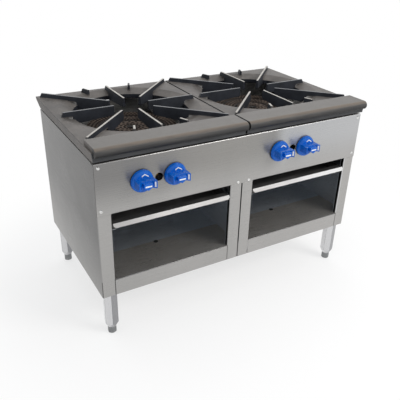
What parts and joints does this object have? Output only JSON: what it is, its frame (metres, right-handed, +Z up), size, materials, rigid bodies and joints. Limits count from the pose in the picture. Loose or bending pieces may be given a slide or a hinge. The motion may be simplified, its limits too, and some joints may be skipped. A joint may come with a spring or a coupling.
{
  "type": "stock pot range",
  "caption": "Low gas range with side-by-side cast iron pot supports over ring burners, pull-out drip trays, front knobs and open storage bays on levelling legs.",
  "frame": {"origin": "on the floor, under the middle of the whole range's bounding box", "axes": "+X to the right along the width, -Y out of the front with the knobs, +Z up"},
  "size_m": [0.921, 0.5632, 0.6147],
  "materials": {
    "stainless_sheet": "brushed",
    "galvanised_sheet": "galvanised",
    "cast_top": "satin grey enamel",
    "cast_burner": "bare, browned",
    "tray_sheet": "bright",
    "knob_blue": "gloss",
    "plated_steel": "zinc plated",
    "brass": "machined",
    "black_pipe": "black",
    "aluminium_tube": "drawn",
    "leg_plating": "satin plated",
    "foot_metal": "grey"
  },
  "bodies": {
    "root": {"back_panel_left": "galvanised_sheet", "back_panel_right": "galvanised_sheet", "back_screws": "plated_steel", "bottom_shelf_left": "stainless_sheet", "bottom_shelf_right": "stainless_sheet", "burner_left": "cast_burner", "burner_rail_inner_left": "galvanised_sheet", "burner_rail_inner_right": "galvanised_sheet", "burner_rail_outer_left": "galvanised_sheet", "burner_rail_outer_right": "galvanised_sheet", "burner_right": "cast_burner", "control_panel": "stainless_sheet", "gas_manifold": "black_pipe", "gas_valve_left_inner": "brass", "gas_valve_left_outer": "brass", "gas_valve_right_inner": "brass", "gas_valve_right_outer": "brass", "inlet_elbow": "black_pipe", "inlet_pipe": "black_pipe", "inner_side_left": "stainless_sheet", "inner_side_right": "stainless_sheet", "joining_bolts": "plated_steel", "leg_front_left": "leg_plating", "leg_front_right": "leg_plating", "leg_plates": "galvanised_sheet", "leg_rear_left": "leg_plating", "leg_rear_right": "leg_plating", "orifice_spuds": "brass", "outer_side_left": "stainless_sheet", "outer_side_right": "stainless_sheet", "panel_screws": "plated_steel", "pilot_burner_left": "plated_steel", "pilot_burner_right": "plated_steel", "pilot_tube_left": "aluminium_tube", "pilot_tube_right": "aluminium_tube", "pilot_valve_left": "brass", "pilot_valve_right": "brass", "tray_runners_left": "galvanised_sheet", "tray_runners_right": "galvanised_sheet"},
    "top_left": {"top_casting_left": "cast_top"},
    "tray_left": {"drip_tray_left": "tray_sheet"},
    "top_right": {"top_casting_right": "cast_top"},
    "tray_right": {"drip_tray_right": "tray_sheet"},
    "control_left_outer": {"knob_left_outer": "knob_blue", "valve_stem_left_outer": "plated_steel"},
    "shutter_left_outer": {"air_shutter_left_outer": "plated_steel"},
    "control_left_inner": {"knob_left_inner": "knob_blue", "valve_stem_left_inner": "plated_steel"},
    "shutter_left_inner": {"air_shutter_left_inner": "plated_steel"},
    "control_right_outer": {"knob_right_outer": "knob_blue", "valve_stem_right_outer": "plated_steel"},
    "shutter_right_outer": {"air_shutter_right_outer": "plated_steel"},
    "control_right_inner": {"knob_right_inner": "knob_blue", "valve_stem_right_inner": "plated_steel"},
    "shutter_right_inner": {"air_shutter_right_inner": "plated_steel"},
    "foot_front_left": {"foot_front_left": "foot_metal"},
    "foot_front_right": {"foot_front_right": "foot_metal"},
    "foot_rear_left": {"foot_rear_left": "foot_metal"},
    "foot_rear_right": {"foot_rear_right": "foot_metal"}
  },
  "joints": [
    {"name": "top_lift_left", "type": "slide", "parent": "root", "child": "top_left", "axis": [0, 0, 1], "range_m": [0, 0.15]},
    {"name": "tray_slide_left", "type": "slide", "parent": "root", "child": "tray_left", "axis": [0, -1, 0], "range_m": [0, 0.38]},
    {"name": "top_lift_right", "type": "slide", "parent": "root", "child": "top_right", "axis": [0, 0, 1], "range_m": [0, 0.15]},
    {"name": "tray_slide_right", "type": "slide", "parent": "root", "child": "tray_right", "axis": [0, -1, 0], "range_m": [0, 0.38]},
    {"name": "knob_turn_left_outer", "type": "hinge", "parent": "root", "child": "control_left_outer", "pos_m": [-0.3276, -0.2356, 0.4985], "axis": [0, -1, 0], "range_deg": [0, 90]},
    {"name": "shutter_turn_left_outer", "type": "hinge", "parent": "root", "child": "shutter_left_outer", "pos_m": [-0.3276, -0.1676, 0.4985], "axis": [0, -1, 0], "range_deg": [0, 45]},
    {"name": "knob_turn_left_inner", "type": "hinge", "parent": "root", "child": "control_left_inner", "pos_m": [-0.2286, -0.2356, 0.4985], "axis": [0, -1, 0], "range_deg": [0, 90]},
    {"name": "shutter_turn_left_inner", "type": "hinge", "parent": "root", "child": "shutter_left_inner", "pos_m": [-0.2286, -0.1676, 0.4985], "axis": [0, -1, 0], "range_deg": [0, 45]},
    {"name": "knob_turn_right_outer", "type": "hinge", "parent": "root", "child": "control_right_outer", "pos_m": [0.1296, -0.2356, 0.4985], "axis": [0, -1, 0], "range_deg": [0, 90]},
    {"name": "shutter_turn_right_outer", "type": "hinge", "parent": "root", "child": "shutter_right_outer", "pos_m": [0.1296, -0.1676, 0.4985], "axis": [0, -1, 0], "range_deg": [0, 45]},
    {"name": "knob_turn_right_inner", "type": "hinge", "parent": "root", "child": "control_right_inner", "pos_m": [0.2286, -0.2356, 0.4985], "axis": [0, -1, 0], "range_deg": [0, 90]},
    {"name": "shutter_turn_right_inner", "type": "hinge", "parent": "root", "child": "shutter_right_inner", "pos_m": [0.2286, -0.1676, 0.4985], "axis": [0, -1, 0], "range_deg": [0, 45]},
    {"name": "foot_level_front_left", "type": "slide", "parent": "root", "child": "foot_front_left", "axis": [0, 0, -1], "range_m": [0, 0.025]},
    {"name": "foot_level_front_right", "type": "slide", "parent": "root", "child": "foot_front_right", "axis": [0, 0, -1], "range_m": [0, 0.025]},
    {"name": "foot_level_rear_left", "type": "slide", "parent": "root", "child": "foot_rear_left", "axis": [0, 0, -1], "range_m": [0, 0.025]},
    {"name": "foot_level_rear_right", "type": "slide", "parent": "root", "child": "foot_rear_right", "axis": [0, 0, -1], "range_m": [0, 0.025]}
  ]
}
